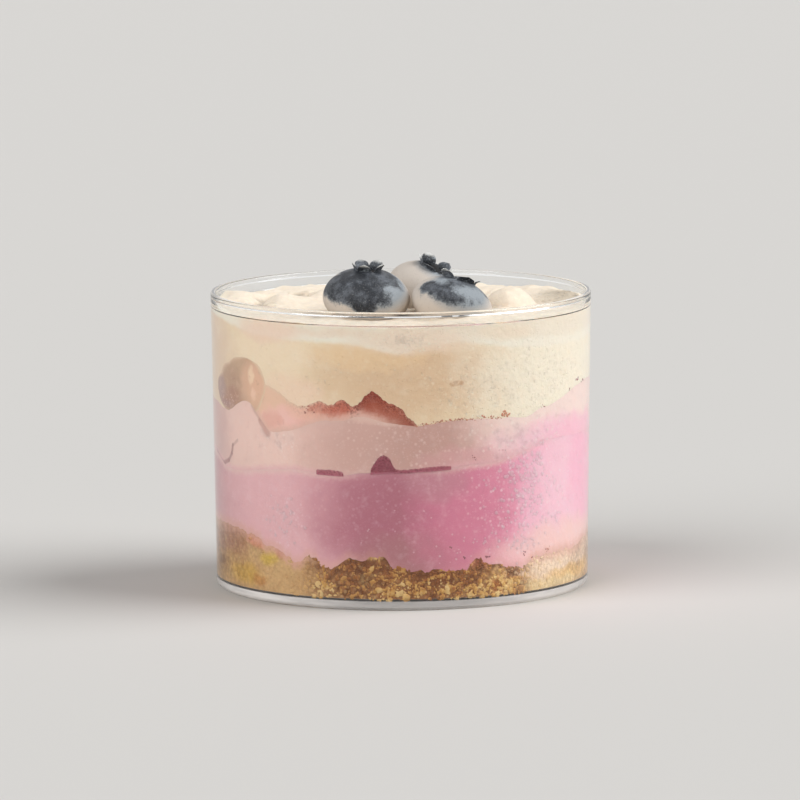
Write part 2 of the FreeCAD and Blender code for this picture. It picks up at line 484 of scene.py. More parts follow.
def plasticLook():
    look = Look("clear_plastic")
    place = look.place()
    x, y, z = look.parts(place)
    turn = look.bearing(place)
    radius = (x * x + y * y) / (cup["foot"] * cup["foot"])
    long = look.add("ShaderNodeCombineXYZ", None, {"X": turn / 14, "Z": z})["Vector"]
    streaks = look.noise(long, 1, 3)
    # painted highlight: a streaked whitish band round the foot, stronger at about 52 degrees left and 48
    # degrees right where the light catches it
    band = z.step(0.1, 0.25) * z.step(2.1, 1.85) * radius.step(0.9, 0.94)
    paintedGlint = look.around(turn, -52, 48) * 0.45 + look.around(turn, 48, 34) * 0.25
    share = band * (streaks.step(0.2, 0.6) * 0.25 + 0.75) * (paintedGlint + plastic["footHighlightShare"])
    glass = look.surface(plastic["tint"], plastic["shine"], IOR=plastic["bend"], Transmission_Weight=1)
    footHighlight = look.surface(plastic["footHighlight"], 0.2)
    solid = look.add("ShaderNodeMixShader", None, {0: share, 1: glass, 2: footHighlight})["Shader"]
    clear = look.add("ShaderNodeBsdfTransparent", None, {"Color": (250, 251, 251)})["BSDF"]
    path = look.add("ShaderNodeLightPath")
    passes = path["Is Shadow Ray"].most(path["Is Diffuse Ray"])
    return look.finish(look.add("ShaderNodeMixShader", None, {0: passes, 1: solid, 2: clear})["Shader"])


def makeCup():
    top = cup["height"]
    ledge = top - cup["ledge"]
    lip = top - cup["lip"]
    rimInside = cup["rim"] - cup["rimWall"]
    lipInside = cup["rim"] - cup["lipWall"]
    slope = (cup["rim"] - cup["foot"]) / top
    low = ledge - cup["ledgeSlope"]
    corners = [
        (0, 0, 0),
        (cup["foot"] * 0.5, 0, 0),
        (cup["foot"], 0, cup["baseRound"]),
        (cup["rim"], top, cup["lipRound"]),
        (lipInside, top, cup["lipRound"]),
        (lipInside, lip, 0.06),
        (rimInside, lip - (cup["lipWall"] - cup["rimWall"]), 0.1),
        (rimInside - slope * cup["ledge"], ledge, 0.08),
        (innerRadius(low), low, 0.12),
        (innerRadius(cup["floor"]), cup["floor"], cup["floorRound"]),
        (cup["foot"] * 0.5, cup["floor"], 0),
        (0, cup["floor"], 0),
    ]
    points, faces = turnedMesh(roundedCorners(corners), cup["around"])
    putDown("clear_cup", points, faces, plasticLook(), "cup", sharp=50)


makeCup()
print("cup done")


# ---- where the layers meet at the wall, as (bearing, height) points ----
crumbLine = wallLine([
    (-180, 10.8), (-160, 9.6), (-140, 11), (-120, 9.4), (-104, 12.6), (-85, 14.2), (-70, 14.2),
    (-60, 13.9), (-55, 13.3), (-50, 13), (-47, 11.4), (-42, 11.4), (-39, 10.2), (-36, 9.1),
    (-32, 9.2), (-30, 10.3), (-27, 10.2), (-26, 8.2), (-23, 8), (-20, 8.9), (-18, 9.8),
    (-15, 10.4), (-12, 9.7), (-9, 10.8), (-5, 10.6), (-4, 9.2), (-2, 8.2), (0, 8.7), (2, 7.9),
    (8, 7.8), (11, 8.2), (14, 7.7), (20, 7.8), (22, 9.3), (24, 10), (26, 9.2), (28, 8.4),
    (31, 8.5), (34, 7.7), (40, 7.2), (45, 9), (60, 9.4), (66, 9), (76, 10.4), (90, 11),
    (110, 9), (128, 8.2), (150, 10.6),
], 0.7)
pinkLine = wallLine([
    (-180, 27.6), (-150, 29), (-120, 27), (-96, 28.6), (-83, 28.1), (-74, 26.9), (-70, 25.7),
    (-63, 25.4), (-51, 26.3), (-35, 27.3), (-27, 27.1), (-17, 26.8), (-10, 27.3), (0, 27.5),
    (8, 28), (15, 28.2), (23, 28.6), (30, 28.8), (34, 29.5), (39, 30.1), (44, 31.1), (48, 32.3),
    (54, 32), (70, 31.8), (86, 31.3), (110, 29.6), (140, 26.8), (165, 28.4),
], 2.0)
paleLine = wallLine([
    (-180, 37.2), (-155, 35.8), (-130, 37.4), (-105, 38.6), (-90, 38.8), (-76, 38), (-71, 37.3),
    (-66, 36.9), (-60, 38.8), (-56, 39.7), (-53, 39.6), (-51, 38.4), (-48.5, 36.7), (-44.5, 34.2),
    (-40, 34.5), (-36, 34.9), (-31, 35.9), (-26, 37.2), (-21, 37.6), (-17.5, 37.4), (-14, 38.3),
    (-11, 38.4), (-7, 37.7), (-3, 37.2), (0, 36.7), (4, 36.5), (9, 36.9), (14, 37.4), (28, 37.5),
    (41, 37), (46, 38.2), (53, 38.9), (60, 40.2), (66, 41.3), (75, 42), (88, 42.2), (104, 40.6),
    (125, 38.6), (145, 39), (165, 37.6),
], 1.0)
jamLine = wallLine([
    (-142, 35), (-132, 38.6), (-120, 40.2), (-110, 38.9), (-104, 37), (-54, 36), (-51, 41.5),
    (-47, 43.6), (-44, 43.2), (-40, 42.2), (-36, 40.5), (-32.7, 39.8), (-29.7, 40), (-26, 41.1),
    (-24.5, 40.9), (-22.6, 40.3), (-20.8, 40.5), (-19.2, 41.5), (-17.3, 41.4), (-15.3, 40.2),
    (-13.8, 40.4), (-12.4, 41.2), (-10.5, 42.7), (-8.7, 43.4), (-7, 42.7), (-5.3, 41.5),
    (-3.2, 40.9), (-0.8, 40.3), (0.6, 39.6), (1.5, 38.4), (3, 37.7), (4.6, 36.9), (6, 35),
    (132, 35), (140, 40.4), (150, 42), (160, 40.2), (170, 36),
], 0.5)
seamLine = wallLine([
    (-120, 23), (-117, 27.3), (-112, 28.1), (-106, 28.9), (-102, 28.7), (-99, 23),
    (-28.6, 24), (-27.6, 26.4), (-26.9, 27.5),
    (-22, 27.6), (-18.2, 27.3), (-17.2, 26), (-10.8, 26), (-9.2, 28.2), (-7.6, 29.9),
    (-6.2, 30.7), (-4.6, 30.7), (-3.6, 30.1), (-2.6, 28.6), (-1.6, 27.95), (0, 27.85), (4, 28.05),
    (8, 28.35), (13.6, 28.5), (15, 28.4), (15.9, 28), (17, 25), (154, 23), (156, 28),
    (159, 29.2), (163, 30.5), (167, 30.6), (170, 29.6), (174, 28.4), (177, 23),
], 0.35)
filmLine = wallLine([
    (-85, 56), (-70, 55.1), (-60, 54.3), (-50, 53.2), (-30, 53), (-15, 52.8), (-9, 52.1),
    (-5, 51.3), (0, 51), (3, 51.5), (6, 52.5), (18, 53), (25, 52.5), (35, 51.5), (50, 50.8),
    (70, 50.5), (85, 51), (120, 53), (160, 52), (-150, 54), (-110, 53),
], 2.0)
levels = {"crumb": 9.6, "pink": 27.8, "pale": 37.0}  # in the middle of the cup


def surfaceFrom(line, uneven, size, middle):
    # a whole surface from its height in the middle and its slightly uneven line at the wall
    def height(x, y):
        share = np.clip(np.hypot(x, y) / (cup["rim"] - 2 * cup["wall"]), 0, 1) ** 3
        bearing = np.arctan2(x, -y)
        return middle + (line(bearing) + size * uneven(bearing) - middle) * share
    return height


crumbTop = surfaceFrom(crumbLine, ragged(11, 5, 1.0), 0.3, levels["crumb"])
pinkTop = surfaceFrom(pinkLine, ragged(12, 30, 2), 0.15, levels["pink"])
paleTop = surfaceFrom(paleLine, ragged(13, 12, 1.2), 0.12, levels["pale"])


def floorLevel(x, y):
    # the floor of the cup, where the crumb is pressed well into the rounded corner
    corner = 0.45
    into = np.clip(np.hypot(x, y) - innerRadius(cup["floor"]) + corner, 0, corner)
    return cup["floor"] - bite + corner - np.sqrt(corner ** 2 - into ** 2)


# ---- biscuit crumb ----
crumb = {
    "plain": (216, 174, 124),
    # painted shade: dark colour laid in the gaps between the loose grains
    "creviceShade": (104, 56, 20),
    "dark": (116, 64, 22),
    "brown": (158, 94, 36),
    "golden": (210, 160, 82),
    "light": (234, 200, 136),
    "melted": (226, 168, 154),  # where mousse has soaked in
    "grains": 2300,
    "least": 0.18,  # radius of the smallest grain, and how much larger the largest is
    "more": 0.62,
    # the patches from 56 to 80 degrees are partly painted light, lighter where light falls on the right,
    # along with the crumb's own paler tone there
    "patches": [
        (-80, 11, 13, 5, 0.9, (186, 136, 108)), (-66, 11, 10, 4, 0.85, (182, 130, 104)),
        (-66, 6, 16, 3, 0.8, (210, 166, 110)), (-57, 5, 8, 1.8, 0.85, (220, 174, 84)),
        (-46, 9.2, 4, 1.4, 0.95, (220, 184, 84)), (-52, 12.4, 4, 1.3, 0.75, (226, 146, 120)),
        (-40, 10.4, 3, 1.3, 0.75, (204, 130, 100)), (-36, 6, 12, 3.5, 0.7, (222, 180, 126)),
        (-49, 4.4, 3, 1, 0.7, (210, 144, 76)), (-76, 6.4, 4, 1.2, 0.8, (138, 96, 66)),
        (4, 6, 32, 5, 0.85, (152, 92, 42)), (-12, 8.8, 14, 1.8, 0.9, (132, 76, 40)),
        (12, 6.8, 8, 2.2, 0.8, (120, 66, 28)), (-11, 5.8, 2.4, 1.6, 0.8, (196, 168, 112)),
        (24, 9.6, 3, 1.6, 0.85, (214, 122, 94)), (36, 5.4, 9, 3, 0.85, (226, 174, 108)),
        (31, 4.2, 3, 0.9, 0.8, (170, 96, 36)), (40, 6.5, 2, 0.8, 0.7, (160, 106, 48)),
        (58, 7.8, 22, 4.4, 0.98, (255, 227, 200)), (56, 3.2, 18, 1.3, 0.8, (246, 220, 170)),
        (72, 4.9, 18, 1.3, 0.85, (244, 198, 128)), (80, 9, 13, 3.4, 0.9, (244, 212, 186)),
        (120, 6, 24, 4, 0.7, (166, 110, 56)), (-130, 6, 26, 4, 0.6, (190, 138, 80)),
    ],
}


def grainy(look, turn):
    # how loose the crumb is: most in the middle of the front, and at the back
    back = 1 - look.around(turn, 0, 150)
    return look.around(turn, 6, 62).step(0.25, 0.5).most(back)


def crumbLook():
    look = Look("biscuit_crumb")
    place = look.place()
    cells = look.cells(place, 0.8)["Distance"]
    mottle = look.noise(place, 1.3, 5, 0.65)
    broad = look.noise(place, 3.2, 3, seed=2)
    loose = grainy(look, look.bearing(place))
    melt = (look.mark("below") + (mottle - 0.5) * 3).step(2.4, 0) * 0.85 * (1 - loose)
    colour = look.coats(
        look.paint(crumb["plain"], look.spot(0.5), crumb["patches"]),
        (mottle.step(0.5, 0.65) * (loose * 0.35 + 0.15), crumb["brown"]),
        (mottle.step(0.47, 0.34) * 0.4, crumb["light"]),
        # painted shade in the gaps between the loose grains
        (loose * (cells.step(0.25, 0.7) * 0.5 + broad.step(0.55, 0.4) * 0.4), crumb["creviceShade"]),
        (melt, crumb["melted"]))
    return look.food(colour, 0.7, 0.15, (1 - cells) * 0.6 + look.noise(place, 0.3, 3) * 0.4, 0.25)


def grainLook():
    look = Look("crumb_grains")
    place = look.place()
    fine = look.noise(place, 0.35, 3, 0.6)
    broad = look.noise(place, 3.2, 3, seed=2)
    tone = look.mark("shade") * 0.65 + (fine - 0.5) * 0.4 + (broad - 0.42) * 2.2
    loose = look.coats(
        crumb["dark"],
        ((tone - 0.05) / 0.25, crumb["brown"]),
        ((tone - 0.3) / 0.3, crumb["golden"]),
        ((tone - 0.6) / 0.3, crumb["light"]))
    plain = look.paint(crumb["plain"], look.spot(0.5), crumb["patches"])
    colour = look.blend(grainy(look, look.bearing(place)) * 0.7 + 0.12, plain, loose)
    return look.food(colour, 0.65, 0.25, fine, 0.1)


def looseShare(away, half):
    # 1 well inside that many degrees, 0 outside
    return np.clip((half - abs(away)) / 16, 0, 1)


def makeCrumb():
    layerPiece("crumb_base", "biscuit_crumb", "biscuit", crumbLook(), floorLevel, crumbTop, rows=30)
    pick = np.random.default_rng(21)
    centres = []
    sizes = []
    shades = []
    while len(sizes) < crumb["grains"]:
        degrees = pick.uniform(-180, 180)
        loose = max(looseShare(degrees - 6, 46), looseShare(abs(degrees) - 180, 80))
        if pick.uniform() > 0.06 + 0.94 * loose:
            continue
        bearing = math.radians(degrees)
        top = float(crumbTop(*out(bearing, cup["rim"])))
        share = pick.uniform()
        size = (crumb["least"] + crumb["more"] * pick.uniform() ** 1.8) * (1.1 - 0.35 * share)
        low = cup["floor"] + 0.7 * size
        z = low + share * (top + 0.1 - low)
        centres.append((*out(bearing, innerRadius(z) + 0.11 - size * 0.43), z))
        sizes.append(size)
        shades.append(np.clip(0.8 - 0.6 * share + 0.16 * pick.normal(), 0, 1))
    points, faces, each = scattered(centres, sizes, 0.5, 0.2, 22)
    putDown("crumb_grains", points, faces, grainLook(), sharp=70,
            marks={"shade": np.repeat(shades, each)})


makeCrumb()
print("crumb done")


# ---- pink mousse ----
def mousseLook(name, spec):
    # edges are (mark, depth, strength, colour, soft bearings) where it melts into a neighbour
    look = Look(name)
    place = look.place()
    turn = look.bearing(place)
    colour = look.paint(spec["plain"], look.spot(spec.get("wander", 1.0)), spec["patches"])
    fuzz = look.noise(place, 0.7, 4, 0.7) - 0.5
    for mark, depth, strength, shade, soft in spec["edges"]:
        share = (look.mark(mark) + fuzz * depth).step(depth, 0) * strength
        for middle, half in soft:
            share = share * (1 - look.around(turn, middle, half))
        colour = look.blend(share, colour, shade)
    cloud = look.noise(place, 2.2, 6, 0.65)
    colour = look.coats(
        colour,
        (cloud.step(0.5, 0.75) * 0.18, spec["light"]),
        (cloud.step(0.45, 0.25) * 0.22, spec["deep"]),
        # painted highlights: light dots of damp, and bubble domes lightened where they would catch the
        # light
        (look.dewHighlights(place, look.spot(0.6), spec.get("dewHighlights", [])), spec["light"]),
        (look.mark("bubble") * 0.35, spec["light"]))
    for start, end, width, strength, shade in spec.get("strokes", []):
        line = look.stroke(look.spot(0.12), start, end, width)
        colour = look.blend(line * strength, colour, shade)
    if "freckle" in spec:  # finer, darker skin towards the top edge
        shade, depth, strength = spec["freckle"]
        grain = look.noise(place, 0.38, 4, 0.7)
        share = grain.step(0.44, 0.6) * (look.mark("below") + fuzz * 2).step(depth, 0)
        share = share * look.around(turn, -8, 36) * strength
        colour = look.blend(share, colour, shade)
    return look.food(colour, 0.5, 0.15, look.noise(place, 0.9, 3), 0.05, (1, 0.6, 0.5))


pink = {
    "wander": 0.6,
    "dewHighlights": [(42, 24, 22, 15, 0.55), (40, 12, 16, 4, 0.4), (-39, 17, 9, 6, 0.4), (0, 20, 40, 9, 0.12),
            (-160, 20, 60, 12, 0.15)],
    "edges": [("below", 1.6, 0.65, (240, 202, 192), [(-3, 24), (64, 32)]),
              ("above", 2.2, 0.6, (226, 172, 152), [(8, 40)])],
    "plain": (234, 180, 186),
    "light": (253, 222, 226),
    "deep": (200, 132, 146),
    # the patches mix the mousse's own tones with painted light: lighter to the right, from about 40 to 80
    # degrees, and darker as painted shade in the middle near 0 degrees
    "patches": [
        (-84, 20, 24, 18, 0.95, (204, 148, 153)), (-45, 20, 26, 17, 0.7, (236, 184, 186)),
        (-15, 22, 18, 12, 0.6, (208, 140, 152)), (1, 18, 24, 13, 0.95, (182, 108, 124)),
        (6, 11, 20, 4.4, 0.85, (180, 122, 126)), (42, 22, 22, 19, 0.9, (252, 172, 196)),
        (21, 20, 16, 14, 0.92, (220, 130, 155)), (10, 26, 10, 4, 0.6, (200, 142, 150)),
        (62, 20, 19, 19, 0.98, (254, 202, 215)), (76, 26, 12, 12, 0.9, (255, 184, 206)),
        (62, 10.5, 30, 4.6, 0.9, (252, 208, 200)), (150, 20, 36, 12, 0.6, (226, 150, 172)),
        (-140, 17, 32, 11, 0.6, (214, 150, 164)),
    ],
    "bubbles": [
        (41, 24.5, 10, 8.5, 190, 0.46), (39, 14, 9, 6, 70, 0.42), (-39, 17.2, 5.5, 4, 46, 0.38),
        (0, 19, 16, 8, 14, 0.22), (22, 12, 12, 4, 24, 0.28), (62, 20, 18, 9, 50, 0.3),
        (-62, 20, 18, 6, 14, 0.22), (140, 20, 34, 8, 110, 0.32), (-130, 18, 34, 8, 90, 0.32),
    ],
}
layerPiece("pink_layer", "pink_mousse", "pink_mousse", mousseLook("pink_mousse", pink),
           crumbTop, pinkTop, bubbles=pink["bubbles"], seed=31, rows=30)
print("pink mousse done")


# ---- pale mousse ----
pale = {
    "wander": 0.6,
    "dewHighlights": [(38, 34, 20, 6, 0.5), (0, 32, 26, 7, 0.3), (-42, 32.6, 9, 2.4, 0.35), (-160, 33, 60, 8, 0.15)],
    "edges": [("above", 1.4, 0.55, (238, 180, 186), [(-6, 26), (64, 32)])],
    "plain": (240, 202, 190),
    "light": (253, 230, 221),
    "deep": (216, 168, 160),
    # the patches mix the mousse's own tones with painted light: lighter to the right near 58 degrees, and
    # darker as painted shade in the middle near 0 to 10 degrees
    "patches": [
        (-84, 32, 17, 10, 0.9, (216, 174, 168)), (-45, 33, 18, 7, 0.6, (250, 211, 198)),
        (-2, 32, 28, 10, 0.98, (216, 172, 160)), (10, 33, 14, 7, 0.7, (204, 158, 146)),
        (-8, 38, 11, 1.1, 0.6, (240, 204, 188)), (58, 37.5, 32, 9, 0.95, (255, 225, 216)),
        (46, 31.5, 20, 4, 0.85, (252, 202, 208)), (56, 32.6, 15, 3.8, 0.9, (255, 202, 214)),
        (72, 32.2, 19, 3.5, 0.95, (255, 192, 208)), (20, 29.5, 14, 2.6, 0.6, (226, 168, 170)),
        (-120, 33, 36, 8, 0.6, (246, 206, 194)), (140, 34, 36, 8, 0.6, (246, 212, 202)),
    ],
    "strokes": [
        ((-60.5, 31.4), (-63.5, 30.3), 0.45, 0.45, (184, 144, 136)),
        ((-63.5, 30.3), (-64.6, 28.6), 0.6, 0.8, (178, 136, 130)),
        ((-64.6, 28.6), (-66.9, 27), 0.55, 0.75, (178, 134, 132)),
        ((-66.9, 27), (-71.5, 25.9), 0.6, 0.8, (176, 128, 128)),
        ((-71.5, 26.2), (-79, 27.9), 0.5, 0.55, (190, 138, 142)),
        ((-51.6, 38.9), (-48.4, 36.6), 0.8, 0.5, (196, 150, 134)),
        ((-48, 36.1), (-44.8, 34), 1, 0.65, (196, 144, 132)),
    ],
    "bubbles": [
        (37, 33, 10, 3.4, 66, 0.44), (-3, 32, 13, 4.5, 34, 0.3), (-42, 32.6, 6, 1.8, 20, 0.4),
        (16, 33, 12, 4, 34, 0.3), (60, 36.5, 15, 4.5, 26, 0.34), (-55, 29, 10, 3, 10, 0.24),
        (140, 33, 30, 5, 60, 0.3), (-120, 33, 30, 5, 50, 0.3),
    ],
}
layerPiece("pale_layer", "pale_mousse", "pale_mousse", mousseLook("pale_mousse", pale),
           pinkTop, paleTop, reach=lambda bearing, z: np.full_like(bearing, bite + 0.03),
           bubbles=pale["bubbles"], seed=32)
print("pale mousse done")


# ---- the two jams: they lie over the mousse where they press against the wall ----
seam = {
    "plain": (166, 84, 98),
    "light": (214, 150, 154),
    "deep": (118, 48, 62),
    "patches": [(-5.5, 28.6, 4.4, 2.2, 0.8, (138, 62, 76)), (-22, 27, 6, 1, 0.6, (190, 116, 124))],
    "edges": [("below", 0.35, 0.8, (204, 142, 144), []), ("above", 0.5, 0.7, (196, 118, 134), [])],
    "freckle": ((106, 42, 52), 4, 0.8),
}
jam = {
    "plain": (230, 164, 144),
    "light": (248, 204, 186),
    "deep": (160, 70, 50),
    "patches": [
        (-46, 40, 12, 6.5, 0.95, (242, 200, 172)), (-38, 36.8, 10, 2.8, 0.85, (253, 200, 190)),
        (-44.5, 36.5, 2.5, 2.2, 0.5, (230, 168, 150)), (-31, 39.5, 7, 3, 0.85, (246, 196, 174)),
        (-20, 40.6, 6, 2.2, 0.95, (200, 106, 82)), (-9, 42, 8, 2.6, 0.98, (146, 48, 28)),
        (-3, 39.8, 8, 3, 0.9, (176, 88, 62)), (2, 37.8, 5, 1.4, 0.9, (166, 84, 60)),
        (150, 40, 14, 3, 0.8, (196, 104, 78)),
    ],
    "edges": [("above", 2.2, 0.9, (232, 188, 172), [(3, 12)]),
              ("below", 0.9, 0.85, (240, 204, 176), [(-8, 30)])],
    "freckle": ((112, 34, 18), 3, 0.9),
}


def makeJam(name, node, slot, look, base, line, uneven, size, over, inset=1.2):
    # hidden apart from where its line at the wall stands above the mousse
    def thickness(bearing):
        edgeX, edgeY = out(bearing, cup["rim"])
        calm = near(bearing, -8, 34) + near(bearing, 150, 60)
        return line(bearing) + size * uneven(bearing) * calm - base(edgeX, edgeY)

    def foot(x, y):
        return base(x, y) - 0.3

    def top(x, y):
        bearing = np.arctan2(x, -y)
        share = np.clip((np.hypot(x, y) - cup["rim"] + 12) / 9, 0, 1)
        return base(x, y) + 0.12 + np.maximum(thickness(bearing), 0.0) * share

    def reach(bearing, z):
        shown = np.clip(thickness(bearing) / 0.2, 0, 1)
        return -inset + (inset + bite + over) * shown

    layerPiece(name, node, slot, look, foot, top, reach, count=1260, rows=12)


makeJam("berry_seam", "jam_seam", "berry_jam", mousseLook("berry_seam", seam),
        pinkTop, seamLine, ragged(41, 2.4, 0.5, 0.4), 0.07, 0.09)
makeJam("strawberry_layer", "strawberry_jam", "strawberry_jam", mousseLook("strawberry_jam", jam),
        paleTop, jamLine, ragged(42, 2.4, 0.5, 0.4), 0.17, 0.01)


# little pieces of berry skin caught along the edges
specks = {
    "red": (190, 120, 98),
    "plum": (150, 96, 108),
    "tan": (214, 158, 126),
    "light": (214, 158, 148),
    "dotted": (4.6, 32),  # degrees where a dotted line on the pale mousse starts and ends
    # bearing, height, half degrees, half height, how many, radius, how plum
    "groups": [
        (-30, 39.2, 2.2, 0.7, 14, 0.16, 0.2), (33.5, 38.1, 1.8, 0.35, 12, 0.24, -0.6),
        (48.5, 38.6, 2.6, 0.25, 7, 0.13, 0.6), (63, 41.2, 0.5, 0.2, 3, 0.22, 0.9),
        (68.5, 42.6, 1.6, 0.25, 6, 0.24, 0.9), (73, 42.2, 1.2, 0.2, 4, 0.22, 0.9),
        (22.6, 30, 0.7, 0.35, 7, 0.16, 0.8), (32.4, 31, 1, 0.08, 4, 0.12, 0.7),
        (15, 12.4, 0.5, 0.4, 4, 0.16, 1), (19, 10.2, 0.5, 0.4, 5, 0.2, 1),
        (26.8, 10.1, 1, 0.3, 5, 0.18, 0.9), (40.5, 9.9, 0.6, 0.6, 5, 0.18, 0.8),
        (51, 10.2, 1, 0.5, 9, 0.14, 0.1), (44.3, 9, 0.4, 0.3, 2, 0.13, 0.6),
    ],
}


def makeSpecks():
    look = Look("berry_specks")
    tone = look.mark("shade")
    grit = look.noise(look.place(), 0.2, 2)
    colour = look.coats(
        specks["red"],
        (tone.most(0), specks["plum"]),
        ((0 - tone).most(0), specks["tan"]),
        (grit.step(0.5, 0.7) * 0.4, specks["light"]))
    material = look.food(colour, 0.4, 0.2, grit, 0.03)
    pick = np.random.default_rng(51)
    spots = []
    for bearing, height, wide, tall, many, radius, plum in specks["groups"]:
        for _ in range(many):
            spots.append((bearing + wide * pick.normal() * 0.6, height + tall * pick.normal() * 0.6,
                          radius * pick.uniform(0.6, 1.2), plum + 0.2 * pick.normal()))
    degrees, end = specks["dotted"]
    while degrees < end:
        height = float(paleLine(math.radians(degrees))) + 0.1 + 0.16 * pick.normal()
        spots.append((degrees, height, pick.uniform(0.08, 0.19), pick.uniform(-0.8, 0.3)))
        degrees += pick.uniform(0.15, 0.6)
    centres = []
    for degrees, height, radius, _ in spots:
        centres.append((*out(math.radians(degrees), innerRadius(height) + bite), height))
    points, faces, each = scattered(centres, [spot[2] for spot in spots], 0.35, 0.12, 52)
    shades = np.repeat(np.clip([spot[3] for spot in spots], -1, 1), each)
    putDown("berry_specks", points, faces, material, marks={"shade": shades})


makeSpecks()
print("jams done")


# ---- half strawberry against the wall ----
fruit = {
    "bearing": -61, "height": 42.0, "length": 19.5, "girth": 11.2, "blunt": -0.26, "lean": -10,
    "plain": (206, 168, 142),
    "edge": (238, 206, 176),
    "light": (228, 190, 164),
    "deep": (178, 132, 116),
    "seed": (232, 200, 186),
    "seedsAt": ((-66, 38.6), (8, 1.8)),  # bearing and height, half degrees and half height
    # the small near-white patches at -52 and -50.5 degrees are painted highlights; the darker patches at
    # the left and bottom are partly painted shade, along with the flesh's own tone
    "patches": [
        (-60, 46.4, 8, 2.2, 0.6, (204, 170, 138)), (-66, 43, 8, 3.6, 0.9, (192, 154, 128)),
        (-64, 39.8, 7, 2, 0.8, (182, 136, 116)), (-73, 41, 4, 3.4, 0.8, (182, 148, 142)),
        (-49, 43, 7, 5, 0.95, (236, 190, 160)), (-52, 45, 1.4, 1.6, 0.8, (252, 220, 188)),
        (-50.5, 41.5, 1.2, 1.2, 0.7, (252, 210, 184)), (-67, 37.9, 5, 1, 0.8, (176, 136, 130)),
    ],
}


def fruitLook():
    look = Look("strawberry_flesh")
    place = look.place()
    streak = look.noise(place, 1.8, 4, 0.6, warp=0.6)
    colour = look.coats(
        look.paint(fruit["plain"], look.spot(0.4), fruit["patches"]),
        (streak.step(0.5, 0.7) * 0.3, fruit["light"]),
        (streak.step(0.45, 0.3) * 0.3, fruit["deep"]))
    pressed = (look.mark("inside") + (streak - 0.5) * 0.6).step(0.05, 0.75)
    colour = look.blend(pressed, fruit["edge"], colour)
    seeds = look.cells(place, 0.6)["Distance"].step(0.3, 0.15) * 0.7
    share = look.blob(look.spot(0.4), *fruit["seedsAt"]) * seeds
    return look.food(look.blend(share, colour, fruit["seed"]), 0.45, 0.15, streak, 0.08, (1, 0.6, 0.5))


def makeFruit():
    # an egg on its side, with everything beyond the wall pressed flat onto it
    angle = np.linspace(0, math.pi, 73)
    girth = fruit["girth"] / 2 * (1 + fruit["blunt"] * np.cos(angle)) * np.sin(angle).clip(0) ** 0.9
    points, faces = turnedMesh(list(zip(girth, -fruit["length"] / 2 * np.cos(angle))), 96)
    points = points[:, [2, 0, 1]]
    points *= (1 + 0.035 * waves(55, 4.5)(*points.T))[:, None]
    turn = Matrix.Rotation(math.radians(fruit["bearing"]), 3, "Z") \
        @ Matrix.Rotation(math.radians(fruit["lean"]), 3, "Y")
    points = points @ np.array(turn).T
    cx, cy = out(math.radians(fruit["bearing"]), innerRadius(fruit["height"]))
    points += (cx, cy, fruit["height"])
    radius = np.hypot(points[:, 0], points[:, 1])
    most = innerRadius(points[:, 2]) + bite + 0.02
    over = radius > most
    inside = np.clip((radius - most) / 4, 0, 1)
    points[over, :2] *= (most / radius)[over, None]
    putDown("strawberry_piece", points, faces, fruitLook(), "strawberry_half",
            sharp=50, marks={"inside": inside})


makeFruit()
print("strawberry done")


# ---- whipped cream ----
cream = {
    "plain": (247, 223, 188),
    "light": (253, 240, 218),
    "deep": (232, 200, 164),
    "film": (253, 242, 224),
    "above": (246, 232, 212),
    "skin": (236, 221, 202),
    # painted shade: grey for the rough patch on top
    "roughShade": (186, 174, 156),
    "smear": (190, 138, 96),
    # painted shade: darker colour in the rough patch's pits and in the creases between the lumps
    "gap": (134, 121, 106),
    # the patches are partly painted light: the light patch at 62 degrees is lighter where light falls on
    # the right, and the darker tan patch at 3 degrees is partly painted shade in the middle and partly a
    # tint from the jam below
    "patches": [
        (3, 46, 30, 8, 0.95, (230, 195, 158)), (-10, 50.4, 17, 2.8, 0.6, (248, 212, 166)),
        (62, 46, 38, 19, 0.98, (254, 240, 218)), (-80, 46, 18, 12, 0.8, (234, 204, 178)),
        (-36, 42, 12, 4, 0.6, (252, 214, 190)), (-45, 50, 17, 4, 0.5, (254, 228, 200)),
    ],
    "patchesAbove": [
        (4, 53.4, 17, 2.6, 0.85, (250, 224, 200)), (-45, 54.2, 13, 2.2, 0.75, (248, 214, 190)),
        (-22, 54.6, 9, 0.8, 0.4, (246, 216, 190)), (34, 54.2, 9, 1.4, 0.5, (250, 226, 198)),
    ],
    "dewHighlights": [(36, 44, 30, 10, 0.5), (62, 47, 20, 8, 0.4), (3, 53.4, 14, 2.4, 0.6), (-20, 46, 26, 8, 0.15),
            (-160, 46, 60, 12, 0.15)],
    "bubbles": [
        (24, 43, 22, 6, 110, 0.24), (48, 45, 18, 7, 90, 0.28), (-20, 46, 8, 3, 10, 0.26),
        (2, 53.4, 8, 1.4, 60, 0.24), (-44, 46, 12, 5, 12, 0.22), (66, 47, 12, 6, 30, 0.26),
        (140, 46, 34, 7, 70, 0.26), (-130, 46, 34, 7, 60, 0.26),
    ],
    "smearAt": ((15.6, 44.5), (18.4, 44.7), 0.6),  # from, to, width
    "roughAt": (96, 0.88),
    "dollop": (73, 0.61, 3.9, 5.4),
    # creases between the lumps: start x, y, end x, y, depth, width
    "creases": [
        (-26.6, -8, -28.2, 1, 1, 1.3), (-28.2, 1, -26.8, 13, 1.7, 1.8), (-26.8, 13, -21, 17, 1, 1.6),
        (-19.8, 7, -18.8, 15, 1.7, 1.7), (-18.8, 15, -12, 18, 0.9, 1.7), (12, 20, 24, 16, 0.6, 1.4),
        (-8, 24, 3, 27, 0.6, 1.4),
    ],
    # lumps and hollows on top: bearing, share of the radius, rise, spread
    "swells": [
        (98, 0.85, 1.5, 5), (122, 0.82, 1.3, 4.6), (-106, 0.93, 1.7, 3.4),
        (-91, 0.63, 1.8, 3.6), (-118, 0.46, 1.5, 3.6),
        (-148, 0.45, 1.4, 5), (165, 0.5, 1.1, 5.6), (-172, 0.82, 0.7, 5), (140, 0.55, -0.9, 4.2),
        (0, 0.72, -0.7, 7), (48, 0.8, 0.5, 6),
    ],
}


